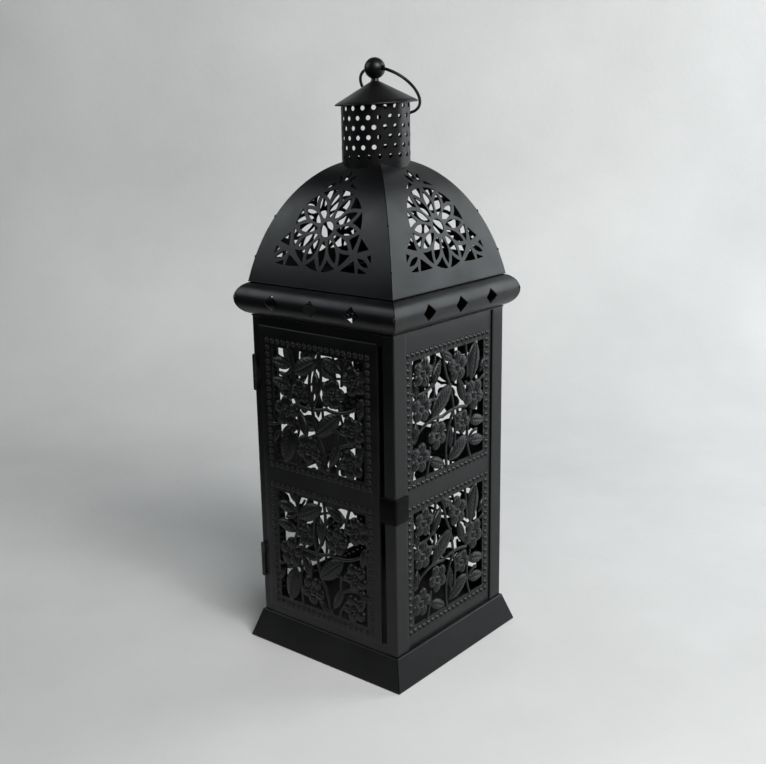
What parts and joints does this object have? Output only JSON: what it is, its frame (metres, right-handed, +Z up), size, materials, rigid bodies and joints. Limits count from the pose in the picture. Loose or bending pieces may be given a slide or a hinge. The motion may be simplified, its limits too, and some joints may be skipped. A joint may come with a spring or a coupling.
{
  "type": "moroccan metal lantern",
  "caption": "Square black sheet-metal candle lantern with flared base, flower-pierced sides, hinged door, half-round cornice, pierced dome, chimney, cone cap and hanging ring.",
  "frame": {"origin": "centre of the base's underside, on the floor, on the lantern's vertical axis", "axes": "+Z up along the vertical axis; -Y is the front, the face with the door; +X is the side the latch strap wraps round to"},
  "size_m": [0.1387, 0.1386, 0.4],
  "materials": {
    "painted_body": "satin black paint on sheet steel",
    "painted_cap": "satin black paint",
    "painted_inside": "matte black paint",
    "hinge_steel": "satin black paint, worn at the knuckles",
    "weld": "painted weld bead",
    "ring_wire": "satin black paint on wire"
  },
  "bodies": {
    "root": {"base_back": "painted_body", "base_front": "painted_body", "base_left": "painted_body", "base_right": "painted_body", "chimney": "painted_cap", "cone_cap": "painted_cap", "cornice_back": "painted_body", "cornice_front": "painted_body", "cornice_left": "painted_body", "cornice_right": "painted_body", "crown_frame": "painted_body", "dome_back": "painted_body", "dome_front": "painted_body", "dome_left": "painted_body", "dome_right": "painted_body", "finial_ball": "painted_cap", "floor_plate": "painted_inside", "front_header": "painted_body", "front_sill": "painted_body", "hinge_lower_frame_knuckles": "hinge_steel", "hinge_lower_pin": "hinge_steel", "hinge_upper_frame_knuckles": "hinge_steel", "hinge_upper_pin": "hinge_steel", "panel_back": "painted_body", "panel_left": "painted_body", "panel_right": "painted_body", "post_back_left": "painted_body", "post_back_right": "painted_body", "post_front_left": "painted_body", "post_front_right": "painted_body", "tack_welds": "weld", "top_frame": "painted_body"},
    "door": {"door_panel": "painted_body", "latch_strap": "painted_body", "hinge_lower_door_leaf": "hinge_steel", "hinge_upper_door_leaf": "hinge_steel"},
    "ring": {"hanging_ring": "ring_wire"}
  },
  "joints": [
    {"name": "door_hinge", "type": "hinge", "parent": "root", "child": "door", "pos_m": [-0.0584, -0.062, 0.128], "axis": [0, 0, -1], "range_deg": [0, 110]},
    {"name": "ring_swing", "type": "hinge", "parent": "root", "child": "ring", "pos_m": [0, 0, 0.3932], "axis": [1, 0, 0], "range_deg": [0, 266]}
  ]
}
